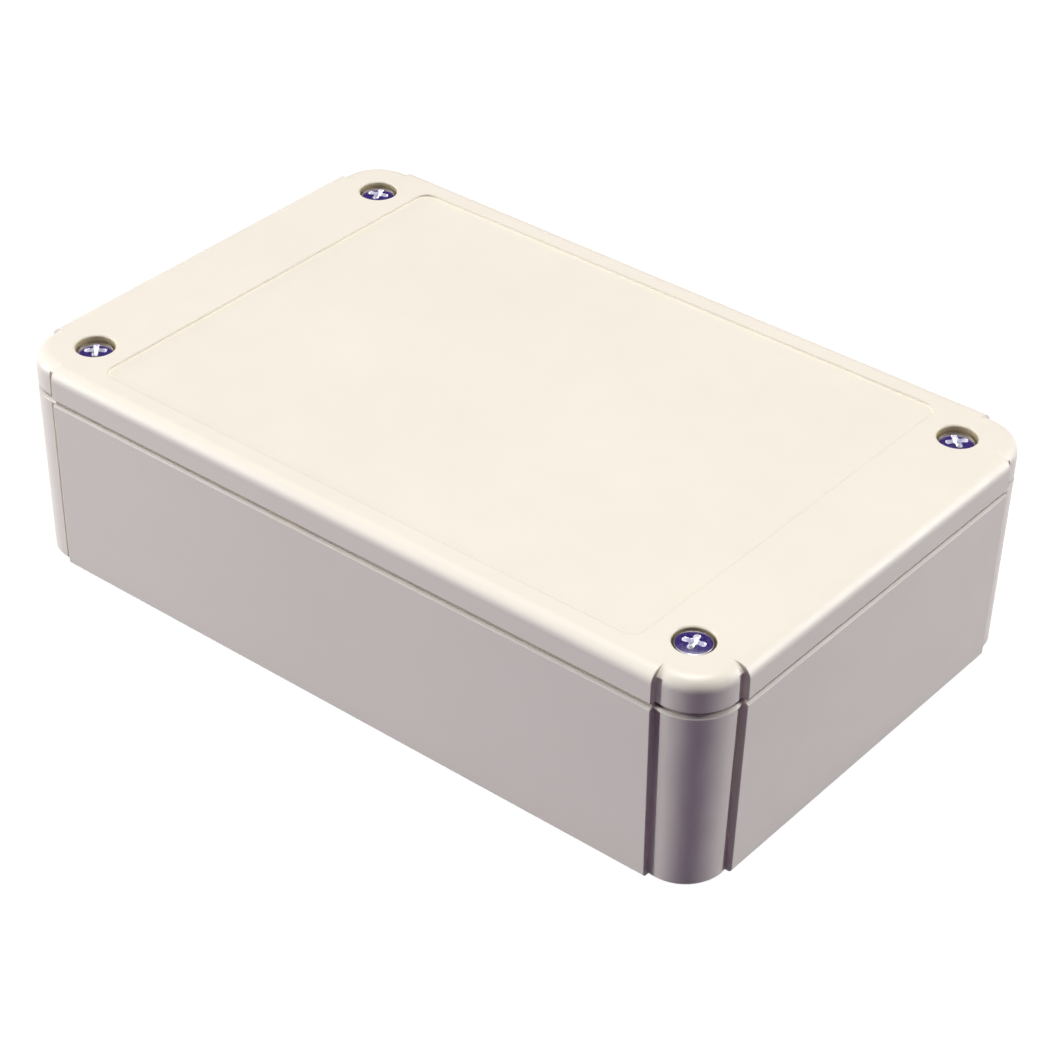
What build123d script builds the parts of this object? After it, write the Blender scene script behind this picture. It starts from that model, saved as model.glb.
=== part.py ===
from build123d import *
from math import radians, tan
import os

# Plastic project box with a screwed lid, millimetres.
# The origin is the middle of the underside, X runs along the long side and Z is up.

# Overall box
box_length = 170.0
box_width = 107.5
box_height = 46.5
lid_height = 7.8
wall = 3.0
floor_thickness = 3.0
lid_plate = 3.0
draft_angle = 1.2
foot_round = 0.8
foot_chamfer = 0.5
lid_round = 2.7

# Corner columns and the grooves beside them, measured in from the outer faces
groove_edge = 12.0
groove_width = 1.5
groove_depth = 2.0
groove_rim = 0.7
lid_groove_depth = 1.3
column_set_back = 1.0
column_radius = 9.4
skirt_behind_groove = 1.6

# Label recess in the lid
recess_length = 130.0
recess_width = 96.0
recess_depth = 0.5
recess_corner = 3.0

# Joint between lid and base
tongue_width = 1.2
tongue_height = 2.0
tongue_land = 0.3
tongue_clearance = 0.25
gasket_thickness = 1.2
gasket_fit = 0.05
shadow_gap = 0.7
shadow_gap_depth = 0.8
lid_chamfer = 0.4
rim_chamfer = 0.5
seal_corner = 4.0
seal_rib = 1.3

# Lid screws
screw_inset = 12.0
screw_thread = 4.0
screw_length = 14.0
screw_fit = 0.05
screw_hole = 4.5
head_diameter = 7.0
head_height = 2.6
head_chamfer = 0.3
head_sink = 1.0
cross_width = 4.4
cross_slot = 1.1
cross_depth = 1.6
screw_turns = [40.0, 15.0, 50.0, 20.0]
screw_rises = [0.0, 0.7, 0.0, 0.2]
counterbore_diameter = 8.0
counterbore_wall = 2.0
counterbore_lip = 0.3

# Threaded inserts and the bosses that hold them
insert_diameter = 5.6
insert_length = 8.0
insert_set_back = 0.2
boss_diameter = 10.0
boss_gap = 0.1
boss_rib = 2.0
boss_rib_drop = 3.0
thread_run_out = 2.0
lid_boss_diameter = 11.0

# Wall-mounting holes in the corner wells, clear of the seal
mount_inset_x = 22.0
mount_inset_y = 10.0
mount_hole = 4.5
mount_head = 8.5
mount_head_room = 0.8

# Posts for a circuit board
post_pitch_x = 136.0
post_pitch_y = 50.0
post_diameter = 7.0
post_height = 6.0
post_pilot = 2.6
post_pilot_floor = 2.0
post_fin = 1.2
post_fin_reach = 5.5
post_fin_drop = 2.0

# Places worked out from the sizes above
parting = box_height - lid_height
lid_edge = parting + shadow_gap
column_inset = column_set_back + column_radius
column_foot_radius = column_radius - parting * tan(radians(draft_angle))
skirt = groove_depth + skirt_behind_groove
skirt_corner = column_inset - skirt
screw_pitch_x = box_length - 2 * screw_inset
screw_pitch_y = box_width - 2 * screw_inset
column_pitch_x = box_length - 2 * column_inset
column_pitch_y = box_width - 2 * column_inset
mount_pitch_x = box_length - 2 * mount_inset_x
mount_pitch_y = box_width - 2 * mount_inset_y
tongue_half = tongue_width / 2
seal_inset = wall - tongue_land - tongue_half
seal_wall_half = tongue_half + tongue_land
seal_groove_half = tongue_half + tongue_clearance
seal_rib_half = seal_groove_half + seal_rib
seal_turn_x = mount_inset_x + mount_head / 2 + mount_head_room + seal_wall_half
seal_turn_y = screw_inset + counterbore_diameter / 2 + counterbore_wall + seal_groove_half
seal_groove_top = parting + tongue_height + gasket_thickness
lid_underside = box_height - lid_plate
head_top = box_height - head_sink
head_seat = head_top - head_height
screw_tip = head_seat - screw_length
boss_top = parting - boss_gap
insert_top = boss_top - insert_set_back
insert_low = insert_top - insert_length
thread_bottom = min(screw_tip, insert_low) - thread_run_out
post_top = floor_thickness + post_height
corners = [(-1, -1), (1, -1), (1, 1), (-1, 1)]


def seal_region(grow):
    """Area inside the seal's line, which steps inwards round each corner well, grown or shrunk.

    Its corners are cut at 45 degrees, so every offset of the line stays made of straight runs.
    """
    length = box_length - 2 * seal_inset
    width = box_width - 2 * seal_inset
    with BuildSketch() as region:
        Rectangle(length, width)
        with GridLocations(length, width, 2, 2):
            Rectangle(2 * (seal_turn_x - seal_inset), 2 * (seal_turn_y - seal_inset), mode=Mode.SUBTRACT)
        chamfer(region.vertices(), seal_corner)
        offset(amount=grow, kind=Kind.INTERSECTION)
    return region.sketch


def box_plan(set_in):
    """Plan of the panels and the corner columns without their grooves, moved inwards by a distance."""
    with BuildSketch() as plan:
        Rectangle(box_length - 2 * set_in, box_width - 2 * set_in)
        with GridLocations(box_length, box_width, 2, 2):
            Rectangle(2 * groove_edge, 2 * groove_edge, mode=Mode.SUBTRACT)
        with GridLocations(column_pitch_x, column_pitch_y, 2, 2):
            Circle(column_radius - set_in)
    return plan.sketch


def groove_slots(depth):
    """Plan of the eight vertical grooves, two beside each corner column."""
    slot_inset = groove_edge - groove_width / 2
    with BuildSketch() as slots:
        with GridLocations(box_length - 2 * slot_inset, box_width, 2, 2):
            Rectangle(groove_width, 2 * depth)
        with GridLocations(box_length, box_width - 2 * slot_inset, 2, 2):
            Rectangle(2 * depth, groove_width)
    return slots.sketch


# Base: hollow moulding with corner columns, corner wells, seal tongue, bosses and posts
with BuildPart() as base_column:
    with BuildSketch(Plane.XZ):
        with BuildLine():
            Polyline(
                (0, 0),
                (column_foot_radius - foot_chamfer, 0),
                (column_foot_radius, foot_chamfer),
                (column_radius, parting - rim_chamfer),
                (column_radius - rim_chamfer, parting),
                (0, parting),
                close=True,
            )
        make_face()
    revolve(axis=Axis.Z)

with BuildPart() as base:
    with BuildSketch(Plane.XY.offset(parting)):
        Rectangle(box_length, box_width)
    extrude(amount=-parting, taper=draft_angle)
    fillet(base.edges().group_by(Axis.Z)[0], foot_round)

    # Bevelled rim that shows as a bright line under the lid
    chamfer(base.edges().group_by(Axis.Z)[-1], rim_chamfer)

    # Corner columns, and the grooves beside them that stop under the rim
    with BuildSketch():
        with GridLocations(box_length, box_width, 2, 2):
            Rectangle(2 * groove_edge, 2 * groove_edge)
    extrude(amount=parting, mode=Mode.SUBTRACT)
    with GridLocations(column_pitch_x, column_pitch_y, 2, 2):
        add(base_column.part)
    with BuildSketch(Plane.XY.offset(parting - groove_rim)):
        add(groove_slots(groove_depth))
    extrude(amount=-parting, mode=Mode.SUBTRACT)

    # Main room for the circuit, inside the seal
    with BuildSketch(Plane.XY.offset(parting)):
        add(seal_region(-seal_wall_half))
    extrude(amount=floor_thickness - parting, taper=draft_angle, mode=Mode.SUBTRACT)

    # Corner wells outside the seal, for the lid screws and the wall-mounting screws
    with BuildSketch(Plane.XY.offset(parting)):
        RectangleRounded(box_length - 2 * skirt, box_width - 2 * skirt, skirt_corner)
        add(seal_region(seal_wall_half), mode=Mode.SUBTRACT)
    extrude(amount=floor_thickness - parting, mode=Mode.SUBTRACT)

    # Tongue on the rim that presses into the gasket
    with BuildSketch(Plane.XY.offset(parting)):
        add(seal_region(tongue_half))
        add(seal_region(-tongue_half), mode=Mode.SUBTRACT)
    extrude(amount=tongue_height)

    # Screw bosses, each tied to its well's walls by two crossed ribs
    with BuildSketch():
        with GridLocations(screw_pitch_x, screw_pitch_y, 2, 2):
            Circle(boss_diameter / 2)
    extrude(amount=boss_top)
    rib_reach_x = screw_inset - wall
    rib_reach_y = seal_turn_y - wall
    with BuildSketch():
        with GridLocations(box_length - 2 * wall - rib_reach_x, screw_pitch_y, 2, 2):
            Rectangle(rib_reach_x, boss_rib)
        with GridLocations(screw_pitch_x, box_width - 2 * wall - rib_reach_y, 2, 2):
            Rectangle(boss_rib, rib_reach_y)
    extrude(amount=boss_top - boss_rib_drop)

    # Blind holes for the inserts, with room for the screw's end below them
    with BuildSketch(Plane.XY.offset(boss_top)):
        with GridLocations(screw_pitch_x, screw_pitch_y, 2, 2):
            Circle(insert_diameter / 2)
    extrude(amount=thread_bottom - boss_top, mode=Mode.SUBTRACT)

    # Wall-mounting holes through the floor of the wells
    with BuildSketch():
        with GridLocations(mount_pitch_x, mount_pitch_y, 2, 2):
            Circle(mount_hole / 2)
    extrude(amount=floor_thickness, mode=Mode.SUBTRACT)

    # Board posts with four fins each and a blind pilot hole
    with BuildSketch():
        with GridLocations(post_pitch_x, post_pitch_y, 2, 2):
            Circle(post_diameter / 2)
    extrude(amount=post_top)
    with BuildSketch():
        with GridLocations(post_pitch_x, post_pitch_y, 2, 2):
            Rectangle(2 * post_fin_reach, post_fin)
            Rectangle(post_fin, 2 * post_fin_reach)
    extrude(amount=post_top - post_fin_drop)
    with BuildSketch(Plane.XY.offset(post_top)):
        with GridLocations(post_pitch_x, post_pitch_y, 2, 2):
            Circle(post_pilot / 2)
    extrude(amount=post_pilot_floor - post_top, mode=Mode.SUBTRACT)

# Lid: shallow moulding with a rounded edge, label recess, counterbores and seal groove
with BuildPart() as lid_column:
    with BuildSketch(Plane.XY.offset(lid_edge)):
        Circle(column_radius)
    extrude(amount=box_height - lid_edge)
    fillet(lid_column.edges().group_by(Axis.Z)[-1], lid_round)
    chamfer(lid_column.edges().group_by(Axis.Z)[0], lid_chamfer)

with BuildPart() as lid:
    with BuildSketch(Plane.XY.offset(lid_edge)):
        Rectangle(box_length, box_width)
    extrude(amount=box_height - lid_edge)
    fillet(lid.edges().group_by(Axis.Z)[-1], lid_round)
    chamfer(lid.edges().group_by(Axis.Z)[0], lid_chamfer)
    with BuildSketch(Plane.XY.offset(lid_edge)):
        with GridLocations(box_length, box_width, 2, 2):
            Rectangle(2 * groove_edge, 2 * groove_edge)
    extrude(amount=box_height - lid_edge, mode=Mode.SUBTRACT)
    with GridLocations(column_pitch_x, column_pitch_y, 2, 2):
        add(lid_column.part)
    with BuildSketch(Plane.XY.offset(lid_edge)):
        add(groove_slots(lid_groove_depth))
    extrude(amount=box_height - lid_edge, mode=Mode.SUBTRACT)

    # Neck that stands on the base and leaves the shadow gap round it
    with BuildSketch(Plane.XY.offset(parting)):
        add(box_plan(shadow_gap_depth))
    extrude(amount=shadow_gap)

    # Hollow underside, then the raised seal band and the screw bosses in it
    with BuildSketch(Plane.XY.offset(parting)):
        RectangleRounded(box_length - 2 * skirt, box_width - 2 * skirt, skirt_corner)
    extrude(amount=lid_underside - parting, mode=Mode.SUBTRACT)
    with BuildSketch(Plane.XY.offset(parting)):
        add(seal_region(seal_rib_half))
        add(seal_region(-seal_rib_half), mode=Mode.SUBTRACT)
        RectangleRounded(box_length - 2 * skirt, box_width - 2 * skirt, skirt_corner, mode=Mode.INTERSECT)
        with GridLocations(screw_pitch_x, screw_pitch_y, 2, 2):
            Circle(lid_boss_diameter / 2)
    extrude(amount=lid_underside - parting)
    with BuildSketch(Plane.XY.offset(parting)):
        add(seal_region(seal_groove_half))
        add(seal_region(-seal_groove_half), mode=Mode.SUBTRACT)
    extrude(amount=seal_groove_top - parting, mode=Mode.SUBTRACT)

    # Label recess and the counterbored screw holes
    with BuildSketch(Plane.XY.offset(box_height)):
        RectangleRounded(recess_length, recess_width, recess_corner)
    extrude(amount=-recess_depth, mode=Mode.SUBTRACT)
    with Locations((0, 0, box_height)):
        with GridLocations(screw_pitch_x, screw_pitch_y, 2, 2):
            CounterBoreHole(screw_hole / 2, counterbore_diameter / 2, box_height - head_seat)
    counterbore_mouths = (
        lid.edges()
        .filter_by(GeomType.CIRCLE)
        .filter_by(lambda edge: abs(edge.radius - counterbore_diameter / 2) < 0.01)
        .group_by(Axis.Z)[-1]
    )
    chamfer(counterbore_mouths, counterbore_lip)

# Gasket: one rubber loop that fills the top of the lid's seal groove
with BuildPart() as gasket:
    with BuildSketch(Plane.XY.offset(parting + tongue_height)):
        add(seal_region(seal_groove_half - gasket_fit))
        add(seal_region(-(seal_groove_half - gasket_fit)), mode=Mode.SUBTRACT)
    extrude(amount=gasket_thickness)

# Lid screw: cheese head with a cross recess on a plain shank
with BuildPart() as screw:
    with BuildSketch(Plane.XY.offset(screw_tip)):
        Circle(screw_thread / 2 - screw_fit)
    extrude(amount=screw_length)
    with BuildSketch(Plane.XY.offset(head_seat)):
        Circle(head_diameter / 2)
    extrude(amount=head_height)
    chamfer(screw.edges().group_by(Axis.Z)[-1], head_chamfer)
    with BuildSketch(Plane.XY.offset(head_top)):
        Rectangle(cross_width, cross_slot)
        Rectangle(cross_slot, cross_width)
    extrude(amount=-cross_depth, mode=Mode.SUBTRACT)

# Threaded insert: brass bush that the screw goes through
with BuildPart() as insert:
    with BuildSketch(Plane.XY.offset(insert_low)):
        Circle(insert_diameter / 2)
        Circle(screw_thread / 2, mode=Mode.SUBTRACT)
    extrude(amount=insert_length)

os.makedirs("parts", exist_ok=True)

base.part.label = "base"
lid.part.label = "lid"
gasket.part.label = "gasket"
export_step(base.part, "parts/base.step")
export_step(lid.part, "parts/lid.step")
export_step(gasket.part, "parts/gasket.step")

for number, (side_x, side_y) in enumerate(corners, start=1):
    place = Location((side_x * screw_pitch_x / 2, side_y * screw_pitch_y / 2, 0))
    turned = Location((0, 0, screw_rises[number - 1])) * Rotation(0, 0, screw_turns[number - 1])
    corner_screw = screw.part.moved(place * turned)
    corner_screw.label = f"lid_screw_{number}"
    export_step(corner_screw, f"parts/lid_screw_{number}.step")
    corner_insert = insert.part.moved(place)
    corner_insert.label = f"threaded_insert_{number}"
    export_step(corner_insert, f"parts/threaded_insert_{number}.step")

print("wall-mounting pattern", mount_pitch_x, "x", mount_pitch_y)
print("board post pattern", post_pitch_x, "x", post_pitch_y)
print("screw pattern", screw_pitch_x, "x", screw_pitch_y, "tip at", screw_tip)
print("seal turns at", seal_turn_x, seal_turn_y, "groove top", seal_groove_top)
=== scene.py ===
"""Looks and studio for a moulded project box with a screwed lid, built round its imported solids."""

import math

import bpy
import numpy as np
from mathutils import Matrix, Vector


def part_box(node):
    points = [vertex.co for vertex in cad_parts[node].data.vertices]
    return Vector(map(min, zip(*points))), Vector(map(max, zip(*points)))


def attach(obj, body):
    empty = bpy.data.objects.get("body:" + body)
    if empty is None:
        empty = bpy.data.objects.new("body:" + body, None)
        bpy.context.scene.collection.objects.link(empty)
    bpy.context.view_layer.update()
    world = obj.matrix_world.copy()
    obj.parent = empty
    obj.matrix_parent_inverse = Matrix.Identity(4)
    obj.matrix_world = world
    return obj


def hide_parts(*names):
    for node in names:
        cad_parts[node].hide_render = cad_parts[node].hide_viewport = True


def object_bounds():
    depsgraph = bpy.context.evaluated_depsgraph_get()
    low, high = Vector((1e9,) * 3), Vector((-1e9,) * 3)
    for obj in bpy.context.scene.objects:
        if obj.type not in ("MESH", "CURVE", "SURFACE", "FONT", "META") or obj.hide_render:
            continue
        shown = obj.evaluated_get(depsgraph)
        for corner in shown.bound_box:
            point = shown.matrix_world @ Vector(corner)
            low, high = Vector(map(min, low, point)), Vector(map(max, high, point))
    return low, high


bl_info = {
    "name": "Project Box Looks",
    "version": (1, 0, 0),
    "blender": (4, 5, 0),
    "location": "View3D > Sidebar > Project Box",
    "description": "Moulded plastic, threaded screws, knurled inserts and a studio for a project box",
    "category": "Object",
}

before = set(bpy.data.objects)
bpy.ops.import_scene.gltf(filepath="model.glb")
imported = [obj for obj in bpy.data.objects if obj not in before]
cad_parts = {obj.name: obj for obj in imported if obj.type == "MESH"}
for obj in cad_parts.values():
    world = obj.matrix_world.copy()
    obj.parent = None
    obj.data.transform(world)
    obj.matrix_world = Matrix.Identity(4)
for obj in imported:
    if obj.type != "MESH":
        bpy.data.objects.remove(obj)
solid_low, solid_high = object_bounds()

CORNERS = (1, 2, 3, 4)
CORNER_SIGNS = np.array([(-1, -1), (1, -1), (1, 1), (-1, 1)])

# Faces that meet at less than these angles are shaded as one
SMOOTH_ANGLE = math.radians(32)
BASE_SMOOTH_ANGLE = math.radians(20)


# Meshes made from grids of points


def capped_tube(grid, low_cap=None, high_cap=None, ring=False):
    """Points and faces of a surface whose rows are rings round an axis.

    Row i and column j of the grid are one point each, and the columns close on themselves. Rows run
    so that the outside is on the right hand. A cap is one point that closes the first or last row,
    and ring=True joins the last row back to the first instead.
    """
    rows, columns = grid.shape[:2]
    index = np.arange(rows * columns).reshape(rows, columns)
    if ring:
        index = np.vstack([index, index[:1]])
    low, high = index[:-1], index[1:]
    quads = np.stack([low, np.roll(low, -1, 1), np.roll(high, -1, 1), high], axis=-1).reshape(-1, 4)
    points, faces = grid.reshape(-1, 3), quads.tolist()
    if low_cap is not None:
        first = index[0]
        pole = np.full(columns, len(points))
        faces += np.stack([np.roll(first, -1), first, pole], axis=-1).tolist()
        points = np.vstack([points, low_cap])
    if high_cap is not None:
        last = index[-1]
        pole = np.full(columns, len(points))
        faces += np.stack([last, np.roll(last, -1), pole], axis=-1).tolist()
        points = np.vstack([points, high_cap])
    return points, faces


def add_piece(name, points, faces, material):
    """New mesh object at the origin, with its place in its points and its sharp edges kept."""
    mesh = bpy.data.meshes.new(name)
    mesh.from_pydata(points.tolist(), [], faces)
    mesh.materials.append(material)
    mesh.shade_smooth()
    mesh.set_sharp_from_angle(angle=SMOOTH_ANGLE)
    mesh.update()
    piece = bpy.data.objects.new(name, mesh)
    bpy.context.scene.collection.objects.link(piece)
    return piece


def centre_of(node):
    """The x and y of a node's middle, and its lowest and highest z."""
    low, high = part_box(node)
    return (low.x + high.x) / 2, (low.y + high.y) / 2, low.z, high.z


# Materials


def start_material(name, **constants):
    """Material with one Principled shader, whose constant sockets are set by name."""
    material = bpy.data.materials.new(name)
    material.use_nodes = True
    shader = material.node_tree.nodes["Principled BSDF"]
    for socket, value in constants.items():
        shader.inputs[socket.replace("_", " ")].default_value = value
    return material, material.node_tree, shader


def object_noise(tree, per_metre, detail=2.0, roughness=0.5):
    """Noise on object coordinates, with its number of features per metre."""
    place = tree.nodes.new("ShaderNodeTexCoord")
    noise = tree.nodes.new("ShaderNodeTexNoise")
    noise.inputs["Scale"].default_value = per_metre
    noise.inputs["Detail"].default_value = detail
    noise.inputs["Roughness"].default_value = roughness
    tree.links.new(place.outputs["Object"], noise.inputs["Vector"])
    return noise.outputs["Fac"]


def ranged(tree, value, low, high, from_low=0.3, from_high=0.7):
    """A value mapped from one range to another."""
    remap = tree.nodes.new("ShaderNodeMapRange")
    remap.inputs["From Min"].default_value = from_low
    remap.inputs["From Max"].default_value = from_high
    remap.inputs["To Min"].default_value = low
    remap.inputs["To Max"].default_value = high
    tree.links.new(value, remap.inputs["Value"])
    return remap.outputs["Result"]


def calculated(tree, operation, first, second):
    """A value worked out from a first value and a second value or number."""
    node = tree.nodes.new("ShaderNodeMath")
    node.operation = operation
    tree.links.new(first, node.inputs[0])
    if isinstance(second, float):
        node.inputs[1].default_value = second
    else:
        tree.links.new(second, node.inputs[1])
    return node.outputs["Value"]


def vector_node(tree, operation, vector, other=(0, 0, 0)):
    """Vector operation on a vector and a constant."""
    node = tree.nodes.new("ShaderNodeVectorMath")
    node.operation = operation
    node.inputs[1].default_value = other
    tree.links.new(vector, node.inputs[0])
    return node


def mixed_colour(tree, factor, first, second):
    """Two colours mixed by a factor."""
    mix = tree.nodes.new("ShaderNodeMix")
    mix.data_type = "RGBA"
    mix.inputs["A"].default_value = (*first, 1)
    mix.inputs["B"].default_value = (*second, 1)
    tree.links.new(factor, mix.inputs["Factor"])
    return mix.outputs["Result"]


def bump(tree, shader, height, distance, strength, edge_radius=0.0):
    """Bump on the shader's normal, with its depth and the radius of its softened edges in metres."""
    node = tree.nodes.new("ShaderNodeBump")
    node.inputs["Distance"].default_value = distance
    node.inputs["Strength"].default_value = strength
    tree.links.new(height, node.inputs["Height"])
    tree.links.new(node.outputs["Normal"], shader.inputs["Normal"])
    if edge_radius:
        soften = tree.nodes.new("ShaderNodeBevel")
        soften.samples = 6
        soften.inputs["Radius"].default_value = edge_radius
        tree.links.new(soften.outputs["Normal"], node.inputs["Normal"])


def height_band(tree, low, high, fade):
    """1 between two heights on object coordinates and 0 beyond them, with soft ends."""
    place = tree.nodes.new("ShaderNodeTexCoord")
    split = tree.nodes.new("ShaderNodeSeparateXYZ")
    tree.links.new(place.outputs["Object"], split.inputs["Vector"])
    above = ranged(tree, split.outputs["Z"], 0.0, 1.0, low, low + fade)
    below = ranged(tree, split.outputs["Z"], 1.0, 0.0, high - fade, high)
    return calculated(tree, "MULTIPLY", above, below)


def counterbore_shade_mask(tree, look):
    """1 on the walls of the four counterbores, where shade is painted, and 0 elsewhere, from the distance
    to the nearest axis.
    """
    middle_x, middle_y, _, head_top = centre_of("lid_screw_3")
    place = tree.nodes.new("ShaderNodeTexCoord")
    folded = vector_node(tree, "ABSOLUTE", place.outputs["Object"])
    flat = vector_node(tree, "MULTIPLY", folded.outputs["Vector"], (1, 1, 0))
    from_axis = vector_node(tree, "DISTANCE", flat.outputs["Vector"], (middle_x, middle_y, 0))
    outer = look.bore_radius + look.bore_fade
    near = ranged(tree, from_axis.outputs["Value"], 1.0, 0.0, look.bore_radius, outer)
    deep = height_band(tree, head_top - look.bore_radius, solid_high.z, look.bore_fade)
    return calculated(tree, "MULTIPLY", near, deep)


def moulded_plastic(look):
    """Cream moulded plastic with eroded grain, faint clouds, uneven gloss, soft edges, painted shade in the
    joint between lid and base and painted shade on the counterbores' walls.
    """
    material, tree, shader = start_material("cream_moulded_plastic", IOR=1.52)
    cloud = ranged(tree, object_noise(tree, look.cloud_scale), 0.0, 1.0)
    shade = [channel * look.cloud_depth for channel in look.colour]
    clouded = mixed_colour(tree, cloud, shade, look.colour)
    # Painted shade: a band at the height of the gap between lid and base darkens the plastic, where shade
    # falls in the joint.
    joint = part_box("lid")[0].z
    dusty = height_band(tree, joint + look.joint_fade, joint + look.joint_gap, look.joint_fade)
    joint_shaded = mixed_colour(tree, dusty, look.colour, look.joint_painted_shade)
    tree.links.new(clouded, joint_shaded.node.inputs["A"])
    # Painted shade: the counterbores' walls are darkened to a brown, where shade falls deep in the holes.
    shaded = mixed_colour(tree, counterbore_shade_mask(tree, look), look.colour, look.bore_painted_shade)
    tree.links.new(joint_shaded, shaded.node.inputs["A"])
    tree.links.new(shaded, shader.inputs["Base Color"])
    gloss = object_noise(tree, look.gloss_scale)
    rough = ranged(tree, gloss, look.roughness - look.gloss_spread, look.roughness + look.gloss_spread)
    tree.links.new(rough, shader.inputs["Roughness"])
    grain = object_noise(tree, 1 / look.grain_size, detail=3.0)
    bump(tree, shader, grain, distance=look.grain_depth, strength=1.0, edge_radius=look.edge_radius)
    return material


def zinc_plating(look):
    """Bright bluish zinc plating, slightly uneven, dull where the cross recess was punched, and darkened
    with painted shade deep in the recess.
    """
    material, tree, shader = start_material("bright_zinc_plating", Metallic=1.0)
    patches = ranged(tree, object_noise(tree, per_metre=900.0), 0.0, 1.0)
    recess = tree.nodes.new("ShaderNodeAttribute")
    recess.attribute_name = "recess"
    # Painted shade: the plating's colour darkens towards the deepest part of the cross recess.
    depth = ranged(tree, recess.outputs["Fac"], 0.0, 1.0, from_low=0.45, from_high=0.95)
    deep = mixed_colour(tree, depth, look.colour, look.deep)
    tree.links.new(mixed_colour(tree, patches, look.shade, look.colour), deep.node.inputs["A"])
    tree.links.new(deep, shader.inputs["Base Color"])
    punched = tree.nodes.new("ShaderNodeMix")
    punched.inputs["B"].default_value = look.recess_roughness
    inside = ranged(tree, recess.outputs["Fac"], 0.0, 1.0, from_low=0.0, from_high=0.1)
    tree.links.new(inside, punched.inputs["Factor"])
    gloss = object_noise(tree, per_metre=2200.0)
    rough = ranged(tree, gloss, look.roughness - look.gloss_spread, look.roughness + look.gloss_spread)
    tree.links.new(rough, punched.inputs["A"])
    tree.links.new(punched.outputs["Result"], shader.inputs["Roughness"])
    bump(tree, shader, object_noise(tree, per_metre=3000.0), distance=0.00001, strength=0.3)
    return material


def turned_brass(look):
    """Turned brass with faint tarnish."""
    material, tree, shader = start_material("turned_brass", Metallic=1.0)
    tarnish = ranged(tree, object_noise(tree, per_metre=500.0, detail=4.0), 0.0, 1.0)
    tree.links.new(mixed_colour(tree, tarnish, look.tarnish, look.colour), shader.inputs["Base Color"])
    rough = ranged(tree, object_noise(tree, per_metre=1800.0), low=0.22, high=0.36)
    tree.links.new(rough, shader.inputs["Roughness"])
    bump(tree, shader, object_noise(tree, per_metre=4000.0), distance=0.00001, strength=0.3)
    return material


def seal_rubber(look):
    """Dark matt rubber with a dusty, pitted skin."""
    material, tree, shader = start_material("seal_rubber", IOR=1.5)
    specks = object_noise(tree, per_metre=300.0, detail=5.0)
    dust = ranged(tree, specks, 0.0, 1.0, from_low=0.45, from_high=0.75)
    tree.links.new(mixed_colour(tree, dust, look.colour, look.dust), shader.inputs["Base Color"])
    rough = ranged(tree, object_noise(tree, per_metre=900.0), low=0.7, high=0.85)
    tree.links.new(rough, shader.inputs["Roughness"])
    bump(tree, shader, object_noise(tree, per_metre=2500.0, detail=3.0), distance=0.00003, strength=0.6)
    return material


# Sizes and colours that a user would change


class HousingLook(bpy.types.PropertyGroup):
    colour: bpy.props.FloatVectorProperty(
        name="Plastic colour", description="Colour of the moulded plastic", subtype="COLOR",
        size=3, min=0, max=1, default=(0.91, 0.845, 0.70))
    cloud_depth: bpy.props.FloatProperty(
        name="Clouding", description="How dark the plastic's faint clouds are, as a share of its colour",
        default=0.975, min=0.5, max=1)
    cloud_scale: bpy.props.FloatProperty(
        name="Cloud scale", description="Clouds per metre", default=25.0, min=1)
    gloss_scale: bpy.props.FloatProperty(
        name="Gloss scale", description="Patches of even gloss per metre", default=150.0, min=1)
    gloss_spread: bpy.props.FloatProperty(
        name="Gloss spread", description="How far the roughness strays from its mean", default=0.04, min=0)
    roughness: bpy.props.FloatProperty(
        name="Roughness", description="Mean roughness of the satin surface", default=0.42, min=0.05, max=1)
    grain_size: bpy.props.FloatProperty(
        name="Grain size", description="Size of the eroded mould grain", default=0.0005, unit="LENGTH")
    grain_depth: bpy.props.FloatProperty(
        name="Grain depth", description="Depth of the mould grain", default=0.000012, unit="LENGTH")
    edge_radius: bpy.props.FloatProperty(
        name="Edge radius", description="Radius that softens the look of sharp edges",
        default=0.00025, unit="LENGTH")
    # Painted shade in the joint between lid and base: the height of its band, its soft ends and its colour.
    joint_gap: bpy.props.FloatProperty(
        name="Joint gap", description="Height of the painted shade band in the gap between lid and base",
        default=0.00072, unit="LENGTH")
    joint_fade: bpy.props.FloatProperty(
        name="Joint fade", description="Height over which the painted shade begins and ends",
        default=0.00003, unit="LENGTH")
    joint_painted_shade: bpy.props.FloatVectorProperty(
        name="Joint painted shade", description="Colour of the painted shade deep in the joint", subtype="COLOR",
        size=3, min=0, max=1, default=(0.50, 0.43, 0.34))
    bore_radius: bpy.props.FloatProperty(
        name="Bore radius", description="Radius of the counterbores' shaded walls",
        default=0.00405, unit="LENGTH")
    bore_fade: bpy.props.FloatProperty(
        name="Bore fade", description="Width over which the walls' shade fades out",
        default=0.0006, unit="LENGTH")
    # Painted shade: the colour that the counterbores' walls are darkened to.
    bore_painted_shade: bpy.props.FloatVectorProperty(
        name="Bore painted shade", description="Colour of the painted shade deep in the counterbores", subtype="COLOR",
        size=3, min=0, max=1, default=(0.62, 0.51, 0.30))


class GrooveShape(bpy.types.PropertyGroup):
    edge: bpy.props.FloatProperty(
        name="Panel end", description="Distance from a corner of the box to the end of a flat panel",
        default=0.012, unit="LENGTH")
    width: bpy.props.FloatProperty(
        name="Groove width", description="Width of the groove beside a column",
        default=0.0015, unit="LENGTH")
    depth: bpy.props.FloatProperty(
        name="Groove depth", description="Depth of the groove from the box's face",
        default=0.002, unit="LENGTH")
    rim: bpy.props.FloatProperty(
        name="Groove rim", description="How far under the base's rim the groove stops",
        default=0.0007, unit="LENGTH")


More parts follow.
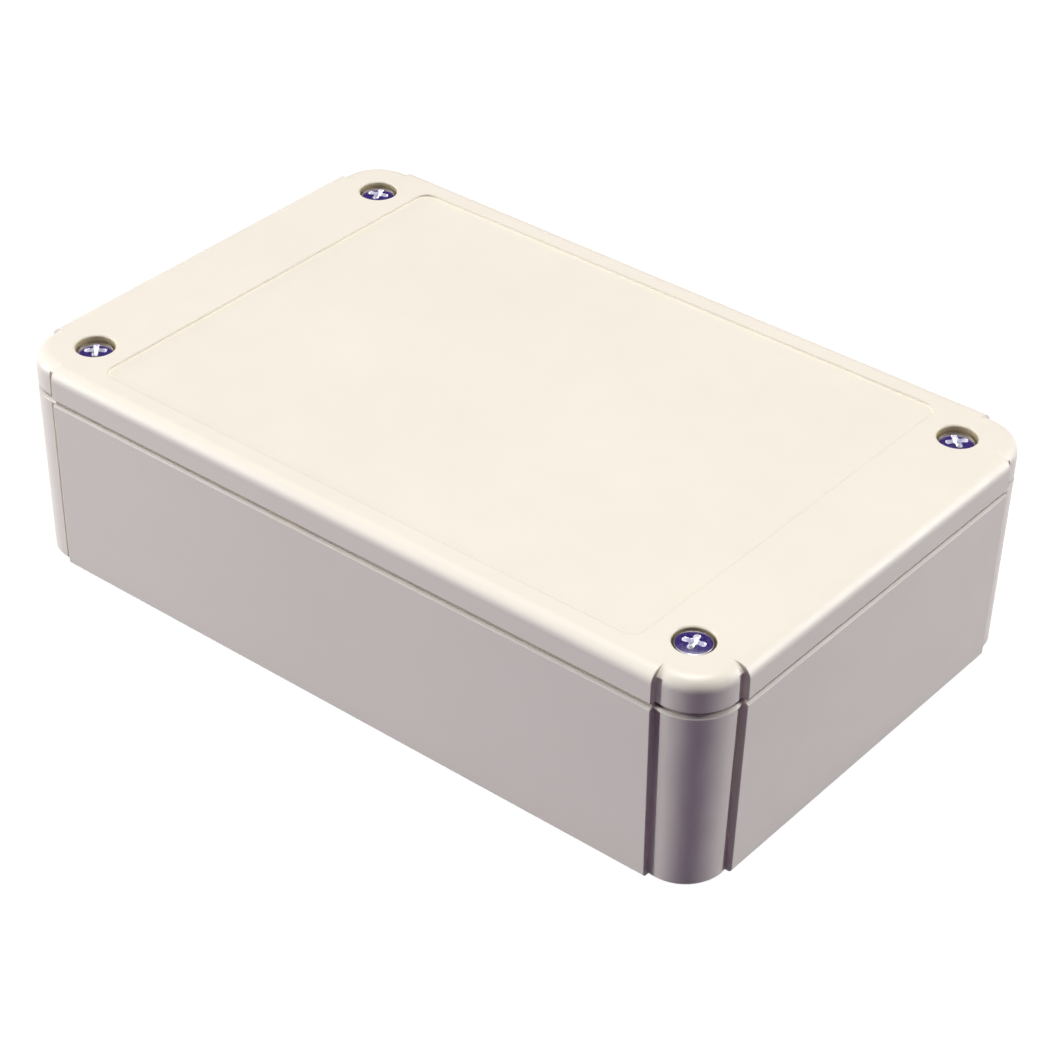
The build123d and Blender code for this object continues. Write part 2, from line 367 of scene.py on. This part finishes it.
class GasketLook(bpy.types.PropertyGroup):
    colour: bpy.props.FloatVectorProperty(
        name="Rubber colour", description="Colour of the clean rubber", subtype="COLOR",
        size=3, min=0, max=1, default=(0.022, 0.022, 0.024))
    dust: bpy.props.FloatVectorProperty(
        name="Dust colour", description="Colour of the rubber where it is dusty", subtype="COLOR",
        size=3, min=0, max=1, default=(0.06, 0.06, 0.062))


class ScrewShape(bpy.types.PropertyGroup):
    head_height: bpy.props.FloatProperty(
        name="Head height", description="Height of the head over its seat", default=0.0026, unit="LENGTH")
    head_crown: bpy.props.FloatProperty(
        name="Head crown", description="Rise of the head's middle over its edge",
        default=0.00025, unit="LENGTH")
    head_edge: bpy.props.FloatProperty(
        name="Head edge", description="Radius of the head's upper edge", default=0.0002, unit="LENGTH")
    crest: bpy.props.FloatProperty(
        name="Thread crest", description="Radius over the thread's crests", default=0.00195, unit="LENGTH")
    thread_depth: bpy.props.FloatProperty(
        name="Thread depth", description="Depth of the thread", default=0.00042, unit="LENGTH")
    pitch: bpy.props.FloatProperty(
        name="Thread pitch", description="Rise of one turn of the thread", default=0.0007, unit="LENGTH")
    point: bpy.props.FloatProperty(
        name="Point", description="Length of the tapered end", default=0.0009, unit="LENGTH")
    cross_reach: bpy.props.FloatProperty(
        name="Cross reach", description="Half the width across the cross recess",
        default=0.0022, unit="LENGTH")
    cross_arm: bpy.props.FloatProperty(
        name="Cross arm", description="Half the width of an arm of the cross",
        default=0.0006, unit="LENGTH")
    cross_depth: bpy.props.FloatProperty(
        name="Cross depth", description="Depth of the cross in its middle", default=0.0016, unit="LENGTH")
    turns: bpy.props.FloatVectorProperty(
        name="Turns", description="How far round each of the four screws came to rest", subtype="EULER",
        size=4, default=[math.radians(turn) for turn in (40, 15, 50, 20)])
    colour: bpy.props.FloatVectorProperty(
        name="Zinc colour", description="Colour of the bright plating", subtype="COLOR",
        size=3, min=0, max=1, default=(0.74, 0.74, 0.80))
    shade: bpy.props.FloatVectorProperty(
        name="Zinc shade", description="Colour of the plating's darker patches", subtype="COLOR",
        size=3, min=0, max=1, default=(0.60, 0.59, 0.72))
    # Painted shade: the colour that the plating darkens to deep in the cross recess.
    deep: bpy.props.FloatVectorProperty(
        name="Deep shade", description="Painted shade on the plating deep in the cross recess", subtype="COLOR",
        size=3, min=0, max=1, default=(0.26, 0.27, 0.22))
    roughness: bpy.props.FloatProperty(
        name="Roughness", description="Mean roughness of the plating", default=0.2, min=0.06, max=1)
    gloss_spread: bpy.props.FloatProperty(
        name="Gloss spread", description="How far the roughness strays from its mean", default=0.05, min=0)
    recess_roughness: bpy.props.FloatProperty(
        name="Recess roughness", description="Roughness inside the cross recess",
        default=0.5, min=0.06, max=1)


class InsertShape(bpy.types.PropertyGroup):
    bore: bpy.props.FloatProperty(
        name="Bore", description="Radius of the bore over its thread", default=0.0020, unit="LENGTH")
    thread_depth: bpy.props.FloatProperty(
        name="Thread depth", description="Depth of the thread in the bore", default=0.00035, unit="LENGTH")
    pitch: bpy.props.FloatProperty(
        name="Thread pitch", description="Rise of one turn of the thread", default=0.0007, unit="LENGTH")
    knurls: bpy.props.IntProperty(
        name="Knurls", description="Slanted grooves round each knurled band", default=28, min=8)
    knurl_depth: bpy.props.FloatProperty(
        name="Knurl depth", description="Depth of the knurling", default=0.00018, unit="LENGTH")
    knurl_slant: bpy.props.FloatProperty(
        name="Knurl slant", description="Rise over which the knurling moves on by one groove",
        default=0.0008, unit="LENGTH")
    band: bpy.props.FloatProperty(
        name="Band", description="Height of each knurled band", default=0.0028, unit="LENGTH")
    waist: bpy.props.FloatProperty(
        name="Waist", description="Depth of the waist between the bands", default=0.0004, unit="LENGTH")
    colour: bpy.props.FloatVectorProperty(
        name="Brass colour", description="Colour of the clean brass", subtype="COLOR",
        size=3, min=0, max=1, default=(0.83, 0.62, 0.27))
    tarnish: bpy.props.FloatVectorProperty(
        name="Tarnish", description="Colour of the tarnished brass", subtype="COLOR",
        size=3, min=0, max=1, default=(0.58, 0.40, 0.17))


class StageSetup(bpy.types.PropertyGroup):
    floor_radius: bpy.props.FloatProperty(
        name="Floor radius", description="Radius of the round floor", default=4.0, unit="LENGTH")
    floor_glow: bpy.props.FloatProperty(
        name="Floor glow", description="How bright the floor looks without lamps", default=0.93, min=0)
    floor_white: bpy.props.FloatVectorProperty(
        name="Floor white", description="Part of the lamps' light that the floor shows", subtype="COLOR",
        size=3, min=0, max=1, default=(0.30, 0.30, 0.30))
    floor_bounce: bpy.props.FloatVectorProperty(
        name="Floor bounce", description="Part of the lamps' light that the floor sends up to the box",
        subtype="COLOR", size=3, min=0, max=1, default=(0.10, 0.05, 0.13))
    left_power: bpy.props.FloatProperty(
        name="Left lamp", description="Power of the high lamp on the left in watts", default=8.0, min=0)
    right_power: bpy.props.FloatProperty(
        name="Right lamp", description="Power of the high lamp on the right in watts", default=8.5, min=0)
    left_fill: bpy.props.FloatProperty(
        name="Left fill", description="Power of the low lamp on the left in watts", default=20.5, min=0)
    right_fill: bpy.props.FloatProperty(
        name="Right fill", description="Power of the low lamp on the right in watts", default=11.5, min=0)
    fill_tint: bpy.props.FloatVectorProperty(
        name="Fill tint", description="Colour of the two low lamps", subtype="COLOR",
        size=3, min=0, max=1, default=(0.86, 0.89, 1.0))
    top_power: bpy.props.FloatProperty(
        name="Top lamp", description="Power of the top lamp in watts", default=26.6, min=0)
    lamp_distance: bpy.props.FloatProperty(
        name="Lamp distance", description="Distance of every lamp from the box", default=1.8, unit="LENGTH")
    ambient: bpy.props.FloatVectorProperty(
        name="Ambient", description="Dim light of the room on matt surfaces", subtype="COLOR",
        size=3, min=0, max=1, default=(0.0, 0.0, 0.04))
    screen: bpy.props.FloatVectorProperty(
        name="Screen", description="Colour of the dark screen that the screws mirror", subtype="COLOR",
        size=3, min=0, max=1, default=(0.05, 0.02, 0.19))
    screen_radius: bpy.props.FloatProperty(
        name="Screen radius", description="Distance of the screen from the box", default=0.8, unit="LENGTH")
    screen_height: bpy.props.FloatProperty(
        name="Screen height", description="Height of the screen's top", default=1.3, unit="LENGTH")
    azimuth: bpy.props.FloatProperty(
        name="Azimuth", description="Direction of the camera round the box", default=math.radians(38.425),
        subtype="ANGLE")
    elevation: bpy.props.FloatProperty(
        name="Elevation", description="Height of the camera over the horizon", default=math.radians(35.122),
        subtype="ANGLE")
    roll: bpy.props.FloatProperty(
        name="Roll", description="Tilt of the picture", default=math.radians(1.324), subtype="ANGLE")
    distance: bpy.props.FloatProperty(
        name="Distance", description="Distance of the camera along its view", default=0.6004, unit="LENGTH")
    side: bpy.props.FloatProperty(
        name="Side step", description="How far the camera stands to its right",
        default=0.0025, unit="LENGTH")
    rise: bpy.props.FloatProperty(
        name="Rise", description="How far the camera stands up in the picture",
        default=0.0117, unit="LENGTH")
    lens: bpy.props.FloatProperty(
        name="Lens", description="Focal length on a 36 mm wide picture, in millimetres", default=101.84)


# Pieces


def finish_node(name, material):
    """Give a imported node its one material."""
    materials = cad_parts[name].data.materials
    materials.clear()
    materials.append(material)


def merged_copy(node):
    """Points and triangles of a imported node, with the points that lie together made one."""
    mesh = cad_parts[node].data
    points = np.empty(3 * len(mesh.vertices), dtype=np.float32)
    mesh.vertices.foreach_get("co", points)
    corners = np.empty(len(mesh.loops), dtype=np.int32)
    mesh.loops.foreach_get("vertex_index", corners)
    points, place = np.unique(points.reshape(-1, 3), axis=0, return_inverse=True)
    return points, place.ravel()[corners].reshape(-1, 3).tolist()


def groove_bars(shape, parting):
    """Points and faces of eight upright bars that fill the grooves, two beside each corner column.

    Each bar is the corners of a unit cube times the bar's size, plus its middle. The middles are all
    signs of (length / 2 - inset, width / 2) and of (length / 2, width / 2 - inset).
    """
    half = np.array([solid_high.x, solid_high.y])
    inset = shape.edge - shape.width / 2
    flat = np.vstack([CORNER_SIGNS * (half - (inset, 0)), CORNER_SIGNS * (half - (0, inset))])
    middle = np.column_stack([flat, np.full(len(flat), parting / 2 - shape.rim)])
    reach = 2 * shape.depth
    kinds = [(shape.width, reach, parting), (reach, shape.width, parting)]
    size = np.repeat(kinds, len(CORNER_SIGNS), axis=0)
    cube = np.stack(np.meshgrid(*[(-0.5, 0.5)] * 3, indexing="ij"), axis=-1).reshape(-1, 3)
    points = middle[:, None] + cube * size[:, None]
    sides = np.array([(0, 1, 3, 2), (4, 6, 7, 5), (0, 4, 5, 1), (2, 3, 7, 6), (0, 2, 6, 4), (1, 5, 7, 3)])
    faces = sides + len(cube) * np.arange(len(flat))[:, None, None]
    return points.reshape(-1, 3), faces.reshape(-1, 4).tolist()


def grooved_base(shape, plastic):
    """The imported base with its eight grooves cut, and normals that follow its largest faces."""
    base = add_piece("grooved_base", *merged_copy("base"), plastic)
    bars = add_piece("groove_bars", *groove_bars(shape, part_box("lid")[0].z), plastic)
    cut = base.modifiers.new("grooves", "BOOLEAN")
    cut.operation = "DIFFERENCE"
    cut.solver = "EXACT"
    cut.object = bars
    view = bpy.context.evaluated_depsgraph_get()
    base.data = bpy.data.meshes.new_from_object(base.evaluated_get(view))
    base.modifiers.clear()
    bpy.data.objects.remove(bars)
    base.data.shade_smooth()
    base.data.set_sharp_from_angle(angle=BASE_SMOOTH_ANGLE)
    even = base.modifiers.new("even_faces", "WEIGHTED_NORMAL")
    even.keep_sharp = True
    return base


class BOX_OT_finish_housing(bpy.types.Operator):
    """Cut the base's grooves, and give the base and the lid their moulded plastic"""
    bl_idname = "project_box.finish_housing"
    bl_label = "Finish Housing"

    def execute(self, context):
        plastic = moulded_plastic(context.scene.box_housing)
        finish_node("lid", plastic)
        base = grooved_base(context.scene.box_grooves, plastic)
        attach(base, "base")
        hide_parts("base")
        return {"FINISHED"}


class BOX_OT_finish_gasket(bpy.types.Operator):
    """Give the gasket its rubber"""
    bl_idname = "project_box.finish_gasket"
    bl_label = "Finish Gasket"

    def execute(self, context):
        finish_node("gasket", seal_rubber(context.scene.box_gasket))
        return {"FINISHED"}


def thread_wave(turns):
    """Height of a thread at a number of turns: a triangle wave with flat roots at 0 and crests at 1."""
    flank, root = 1.7, 0.35
    return np.clip(flank * np.abs(2 * np.mod(turns, 1.0) - 1) - root, 0, 1)


def screw_surface(shape, node, turn):
    """Points, faces and recess depths of a cheese-head screw with a rolled thread and a cross recess.

    The shank is a ring for each height z, with radius crest minus depth times a flattened triangle
    wave of z / pitch minus angle / turn, which makes the thread a helix, and the radius tapers at
    the point. The head is a flat seat, a wall, a quarter round edge and a crowned top, where the
    height falls with the square of the radius. The cross is cut into the top by lowering each point
    inside two crossed, tapering arms, with a soft slope at the arms' edges and a conical floor.
    """
    middle_x, middle_y, tip, top = centre_of(node)
    low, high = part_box(node)
    head_radius = (high.x - low.x) / 2
    seat = top - shape.head_height
    columns, rows_per_turn, top_rings = 96, 9, 56
    seat_bevel = 0.0001
    point_drop = shape.thread_depth * 1.6
    angle = np.linspace(0, 2 * np.pi, columns, endpoint=False)

    turns = (seat - tip) / shape.pitch
    shank_z = np.linspace(tip, seat, int(turns * rows_per_turn))[:, None]
    wave = thread_wave(shank_z / shape.pitch - angle / (2 * np.pi))
    fade = np.clip((seat - shank_z) / shape.pitch, 0, 1)
    shank_r = shape.crest - shape.thread_depth * (1 - wave) * fade
    taper = shape.crest - point_drop + (shank_z - tip) * point_drop / shape.point
    shank_r = np.minimum(shank_r, taper)
    shank_z = np.broadcast_to(shank_z, shank_r.shape)

    edge = np.linspace(0, np.pi / 2, 6)
    wall_r = np.concatenate([[shape.crest, head_radius - seat_bevel, head_radius],
                             head_radius - shape.head_edge * (1 - np.cos(edge))])
    rim = top - shape.head_crown
    wall_z = np.concatenate([[seat, seat, seat + seat_bevel], rim - shape.head_edge * (1 - np.sin(edge))])
    wall_r, wall_z = (np.repeat(values[:, None], columns, axis=1) for values in (wall_r, wall_z))

    flat = head_radius - shape.head_edge
    disc_r = np.repeat(np.linspace(flat, 0, top_rings)[1:-1, None], columns, axis=1)
    across = disc_r * np.cos(angle - turn)
    along = disc_r * np.sin(angle - turn)
    disc_z = rim + shape.head_crown * (1 - (disc_r / flat) ** 2)
    cut = cross_depth_at(shape, across, along)
    disc_z = disc_z - cut
    centre_z = top - cross_depth_at(shape, np.zeros(1), np.zeros(1))[0]

    radius = np.vstack([shank_r, wall_r, disc_r])
    height = np.vstack([shank_z, wall_z, disc_z])
    grid = np.stack([middle_x + radius * np.cos(angle), middle_y + radius * np.sin(angle), height], axis=-1)
    points, faces = capped_tube(grid, (middle_x, middle_y, tip), (middle_x, middle_y, centre_z))
    before = np.zeros(shank_r.size + wall_r.size)
    recess = np.concatenate([before, cut.ravel() / shape.cross_depth, [0, 1]])
    return points, faces, recess


def cross_depth_at(shape, across, along):
    """Depth of the cross recess at points in the screw's own turned axes.

    Each arm is a strip with a round end that widens a little outwards, and a small round joins them in
    the middle. The depth is a soft step of the distance inside that outline, times a floor that rises
    outwards.
    """
    root_width, widening, middle_size, rise, slope = 0.8, 0.3, 1.7, 0.8, 0.0002
    x, y = np.abs(across), np.abs(along)
    distance = np.hypot(x, y)
    width = shape.cross_arm * (root_width + widening * distance / shape.cross_reach)
    straight = shape.cross_reach - shape.cross_arm
    first = np.hypot(np.maximum(x - straight, 0), y) - width
    second = np.hypot(np.maximum(y - straight, 0), x) - width
    middle = distance - shape.cross_arm * middle_size
    inside = -np.minimum(np.minimum(first, second), middle)
    step = np.clip(inside / slope, 0, 1)
    floor = shape.cross_depth * (1 - rise * distance / shape.cross_reach)
    return step * step * (3 - 2 * step) * floor


class BOX_OT_build_screws(bpy.types.Operator):
    """Build the four lid screws with their thread and cross recess"""
    bl_idname = "project_box.build_screws"
    bl_label = "Build Lid Screws"

    def execute(self, context):
        shape = context.scene.box_screws
        plating = zinc_plating(shape)
        for number in CORNERS:
            node = f"lid_screw_{number}"
            points, faces, recess = screw_surface(shape, node, shape.turns[number - 1])
            screw = add_piece(f"threaded_screw_{number}", points, faces, plating)
            screw.data.attributes.new("recess", "FLOAT", "POINT").data.foreach_set("value", recess)
            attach(screw, node)
            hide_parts(node)
        return {"FINISHED"}


def insert_surface(shape, node):
    """Points and faces of a brass bush with knurled bands outside and a thread in its bore.

    A closed profile goes out along the lower end, up the outside, in along the upper end and down
    the bore, and turns round the axis. Outside, the radius drops by the knurl depth times a
    triangle wave of knurls times angle plus a slant with height, opposite in the two bands, and by
    the waist between them. In the bore it grows by the thread depth times a wave of z / pitch minus
    angle / turn.
    """
    middle_x, middle_y, low_z, high_z = centre_of(node)
    low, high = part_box(node)
    outer = (high.x - low.x) / 2
    columns_per_knurl, rows = 6, 49
    band_slope, outer_bevel, mouth_bevel = 0.0002, 0.0002, 0.0003
    angle = np.linspace(0, 2 * np.pi, shape.knurls * columns_per_knurl, endpoint=False)

    up = np.linspace(low_z, high_z, rows)[:, None]
    into = np.minimum(up - low_z, high_z - up)
    in_band = np.clip((shape.band - into) / band_slope, 0, 1)
    slant = np.where(up < (low_z + high_z) / 2, 1.0, -1.0)
    phase = np.mod(shape.knurls * angle / (2 * np.pi) + slant * into / shape.knurl_slant, 1.0)
    groove = 1 - np.abs(2 * phase - 1)
    outside = outer - shape.waist * (1 - in_band) - shape.knurl_depth * groove * in_band
    outside = outside - np.clip(outer_bevel - into, 0, None)

    down = up[::-1]
    thread = thread_wave(down / shape.pitch - angle / (2 * np.pi))
    mouth = np.clip(mouth_bevel - np.minimum(down - low_z, high_z - down), 0, None)
    bore = shape.bore + shape.thread_depth * thread + mouth

    radius = np.vstack([outside, bore])
    height = np.vstack([np.broadcast_to(up, outside.shape), np.broadcast_to(down, bore.shape)])
    grid = np.stack([middle_x + radius * np.cos(angle), middle_y + radius * np.sin(angle), height], axis=-1)
    return capped_tube(grid, ring=True)


class BOX_OT_build_inserts(bpy.types.Operator):
    """Build the four knurled brass inserts"""
    bl_idname = "project_box.build_inserts"
    bl_label = "Build Threaded Inserts"

    def execute(self, context):
        shape = context.scene.box_inserts
        brass = turned_brass(shape)
        for number in CORNERS:
            node = f"threaded_insert_{number}"
            points, faces = insert_surface(shape, node)
            insert = add_piece(f"knurled_insert_{number}", points, faces, brass)
            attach(insert, "base")
            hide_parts(node)
        return {"FINISHED"}


# Studio


def seen_or_mirrored(tree):
    """1 on rays from the camera, from gloss and through glass, and 0 once a matt surface lies between."""
    path = tree.nodes.new("ShaderNodeLightPath")
    either = path.outputs["Is Camera Ray"]
    for name in ("Is Glossy Ray", "Is Transmission Ray"):
        either = calculated(tree, "MAXIMUM", either, path.outputs[name])
    direct = calculated(tree, "LESS_THAN", path.outputs["Diffuse Depth"], 0.5)
    return calculated(tree, "MULTIPLY", either, direct)


def floor_material(setup):
    """White floor that keeps the box's soft shadow, and sends a little violet light back up to it."""
    material = bpy.data.materials.new("studio_floor")
    material.use_nodes = True
    tree = material.node_tree
    tree.nodes.clear()
    glow = tree.nodes.new("ShaderNodeEmission")
    glow.inputs["Strength"].default_value = setup.floor_glow
    white = tree.nodes.new("ShaderNodeBsdfDiffuse")
    white.inputs["Color"].default_value = (*setup.floor_white, 1)
    shown = tree.nodes.new("ShaderNodeAddShader")
    tree.links.new(glow.outputs[0], shown.inputs[0])
    tree.links.new(white.outputs[0], shown.inputs[1])
    dark = tree.nodes.new("ShaderNodeBsdfDiffuse")
    dark.inputs["Color"].default_value = (*setup.floor_bounce, 1)
    choose = tree.nodes.new("ShaderNodeMixShader")
    tree.links.new(seen_or_mirrored(tree), choose.inputs["Fac"])
    tree.links.new(dark.outputs[0], choose.inputs[1])
    tree.links.new(shown.outputs[0], choose.inputs[2])
    out = tree.nodes.new("ShaderNodeOutputMaterial")
    tree.links.new(choose.outputs[0], out.inputs["Surface"])
    return material


def add_floor(setup):
    """Round flat floor under the box: rings of shrinking radius round one middle point."""
    columns, rows = 96, 12
    angle = np.linspace(0, 2 * np.pi, columns, endpoint=False)
    rings = np.linspace(setup.floor_radius, setup.floor_radius / rows, rows)[:, None]
    grid = np.stack([rings * np.cos(angle), rings * np.sin(angle), np.zeros_like(rings * angle)], axis=-1)
    floor = add_piece("studio_floor", *capped_tube(grid, high_cap=(0, 0, 0)), floor_material(setup))


def add_screen(setup):
    """Dark screen behind the box that only gloss shows: an upright part of a round wall.

    Its points are radius times the cosine and sine of an angle, up to 50 degrees either side of the
    far end of the camera's view, at heights from just over the floor to the top.
    """
    half_turn, columns, rows, clear_of_floor = 50, 41, 9, 0.004
    radius = setup.screen_radius
    angle = setup.azimuth + np.pi / 2 + np.radians(np.linspace(-half_turn, half_turn, columns))
    up = np.linspace(clear_of_floor, setup.screen_height, rows)[:, None]
    across, along = radius * np.cos(angle), radius * np.sin(angle)
    grid = np.stack(np.broadcast_arrays(across, along, up), axis=-1)
    index = np.arange(grid[..., 0].size).reshape(grid.shape[:2])
    faces = np.stack([index[:-1, 1:], index[:-1, :-1], index[1:, :-1], index[1:, 1:]], axis=-1)
    material = bpy.data.materials.new("studio_screen")
    material.use_nodes = True
    tree = material.node_tree
    tree.nodes.clear()
    glow = tree.nodes.new("ShaderNodeEmission")
    glow.inputs["Color"].default_value = (*setup.screen, 1)
    out = tree.nodes.new("ShaderNodeOutputMaterial")
    tree.links.new(glow.outputs[0], out.inputs["Surface"])
    screen = add_piece("studio_screen", grid.reshape(-1, 3), faces.reshape(-1, 4).tolist(), material)
    for kind in ("camera", "diffuse", "transmission", "volume_scatter", "shadow"):
        setattr(screen, f"visible_{kind}", False)


def direction(azimuth, elevation):
    """Unit vector from the box towards an azimuth, counted from -Y towards +X, and an elevation."""
    return Vector((math.sin(azimuth) * math.cos(elevation), -math.cos(azimuth) * math.cos(elevation),
                   math.sin(elevation)))


def add_lamp(name, azimuth, elevation, distance, size, power, tint=(1, 1, 1)):
    """Square soft lamp aimed at the middle of the box, placed by angles as the camera is."""
    lamp = bpy.data.lights.new(name, "AREA")
    lamp.shape = "SQUARE"
    lamp.size = size
    lamp.energy = power
    lamp.color = tint
    back = direction(azimuth, elevation)
    aim = (solid_low + solid_high) / 2
    facing = back.to_track_quat("Z", "Y").to_matrix().to_4x4()
    holder = bpy.data.objects.new(name, lamp)
    holder.matrix_world = Matrix.Translation(aim + back * distance) @ facing
    bpy.context.scene.collection.objects.link(holder)


def set_world(ambient):
    """White backdrop for the camera and for gloss, with a dim tinted light on matt surfaces."""
    world = bpy.data.worlds.new("studio_world")
    world.use_nodes = True
    tree = world.node_tree
    tree.nodes.clear()
    room = tree.nodes.new("ShaderNodeBackground")
    room.inputs["Color"].default_value = (*ambient, 1)
    white = tree.nodes.new("ShaderNodeBackground")
    choose = tree.nodes.new("ShaderNodeMixShader")
    white.inputs["Color"].default_value = (1, 1, 1, 1)
    tree.links.new(seen_or_mirrored(tree), choose.inputs["Fac"])
    tree.links.new(room.outputs[0], choose.inputs[1])
    tree.links.new(white.outputs[0], choose.inputs[2])
    out = tree.nodes.new("ShaderNodeOutputWorld")
    tree.links.new(choose.outputs[0], out.inputs["Surface"])
    bpy.context.scene.world = world


def add_camera(setup):
    """Camera whose axes come from its azimuth, elevation and roll, set back along its view."""
    back = direction(setup.azimuth, setup.elevation)
    level = Vector((math.cos(setup.azimuth), math.sin(setup.azimuth), 0))
    upward = back.cross(level)
    right = math.cos(setup.roll) * level + math.sin(setup.roll) * upward
    up = math.cos(setup.roll) * upward - math.sin(setup.roll) * level
    place = setup.side * right + setup.rise * up + setup.distance * back
    lens = bpy.data.cameras.new("studio_camera")
    lens.lens = setup.lens
    lens.sensor_width = 36.0
    lens.clip_start = 0.01
    camera = bpy.data.objects.new("studio_camera", lens)
    camera.matrix_world = Matrix.Translation(place) @ Matrix((right, up, back)).transposed().to_4x4()
    bpy.context.scene.collection.objects.link(camera)
    bpy.context.scene.camera = camera


class BOX_OT_build_stage(bpy.types.Operator):
    """Build the floor, lamps, backdrop and camera"""
    bl_idname = "project_box.build_stage"
    bl_label = "Build Stage"

    def execute(self, context):
        setup = context.scene.box_stage
        add_floor(setup)
        for name, side, height, size, power, tint in (
                ("left_lamp", -91, 25, 0.5, setup.left_power, (1, 1, 1)),
                ("right_lamp", 96, 25, 0.5, setup.right_power, (1, 1, 1)),
                ("left_fill", -91, 5, 0.5, setup.left_fill, setup.fill_tint),
                ("right_fill", 96, 5, 0.5, setup.right_fill, setup.fill_tint),
                ("top_lamp", 0, 88, 0.6, setup.top_power, (1, 1, 1))):
            azimuth = setup.azimuth + math.radians(side)
            add_lamp(name, azimuth, math.radians(height), setup.lamp_distance, size, power, tint)
        add_screen(setup)
        set_world(setup.ambient)
        add_camera(setup)
        context.scene.view_settings.view_transform = "Standard"
        return {"FINISHED"}


class BOX_PT_panel(bpy.types.Panel):
    """Steps that build the looks of the project box"""
    bl_idname = "BOX_PT_panel"
    bl_label = "Project Box"
    bl_space_type = "VIEW_3D"
    bl_region_type = "UI"
    bl_category = "Project Box"

    def draw(self, context):
        for operator in OPERATORS:
            self.layout.operator(operator.bl_idname)


OPERATORS = (BOX_OT_finish_housing, BOX_OT_finish_gasket, BOX_OT_build_screws, BOX_OT_build_inserts,
             BOX_OT_build_stage)
SETTINGS = {"box_housing": HousingLook, "box_grooves": GrooveShape, "box_gasket": GasketLook,
            "box_screws": ScrewShape, "box_inserts": InsertShape, "box_stage": StageSetup}


def register():
    for kind in (*SETTINGS.values(), *OPERATORS, BOX_PT_panel):
        bpy.utils.register_class(kind)
    for name, kind in SETTINGS.items():
        setattr(bpy.types.Scene, name, bpy.props.PointerProperty(type=kind))


def unregister():
    for name in SETTINGS:
        delattr(bpy.types.Scene, name)
    for kind in (BOX_PT_panel, *reversed(OPERATORS), *reversed(SETTINGS.values())):
        bpy.utils.unregister_class(kind)


def main():
    register()
    bpy.ops.project_box.finish_housing()
    bpy.ops.project_box.finish_gasket()
    bpy.ops.project_box.build_screws()
    bpy.ops.project_box.build_inserts()
    bpy.ops.project_box.build_stage()


if __name__ == "__main__":
    main()
